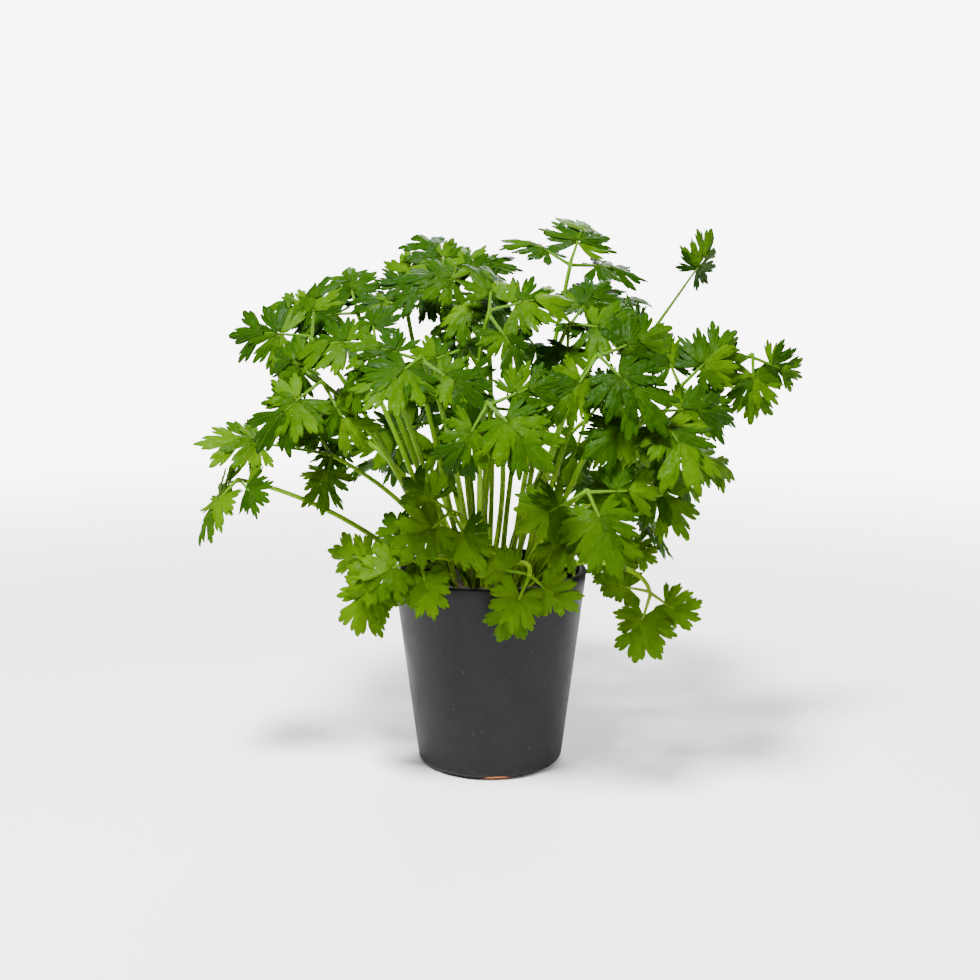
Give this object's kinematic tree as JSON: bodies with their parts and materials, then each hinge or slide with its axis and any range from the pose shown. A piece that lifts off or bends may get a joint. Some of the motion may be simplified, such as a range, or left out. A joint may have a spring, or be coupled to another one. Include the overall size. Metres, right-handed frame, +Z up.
{
  "type": "potted parsley",
  "caption": "Flat-leaf parsley in a plain tapered round pot: soil, and cut-leaved fronds on long stalks that rise, spread and hang over the rim.",
  "frame": {"origin": "centre of the pot's base, on the surface that it stands on", "axes": "+Z up along the pot's axis, -Y towards the viewer of the picture, +X to the viewer's right"},
  "size_m": [0.3667, 0.2974, 0.336],
  "materials": {
    "clay": "matte",
    "soil": "matte",
    "leaf": "satin"
  },
  "bodies": {
    "root": {"pot": "clay", "soil": "soil", "frond_01": "leaf", "frond_02": "leaf", "frond_03": "leaf", "frond_04": "leaf", "frond_05": "leaf", "frond_06": "leaf", "frond_07": "leaf", "frond_08": "leaf", "frond_09": "leaf", "frond_10": "leaf", "frond_11": "leaf", "frond_12": "leaf", "frond_13": "leaf", "frond_14": "leaf", "frond_15": "leaf", "frond_16": "leaf", "frond_17": "leaf", "frond_18": "leaf", "frond_19": "leaf", "frond_20": "leaf", "frond_21": "leaf", "frond_22": "leaf", "frond_23": "leaf", "frond_24": "leaf", "frond_25": "leaf", "frond_26": "leaf", "frond_27": "leaf", "frond_28": "leaf", "frond_29": "leaf", "frond_30": "leaf", "frond_31": "leaf", "frond_32": "leaf", "frond_33": "leaf", "frond_34": "leaf", "frond_35": "leaf", "frond_36": "leaf", "frond_37": "leaf", "frond_38": "leaf", "frond_39": "leaf", "frond_40": "leaf", "frond_41": "leaf", "frond_42": "leaf", "frond_43": "leaf", "frond_44": "leaf", "frond_45": "leaf", "frond_46": "leaf", "frond_47": "leaf"}
  },
  "joints": []
}
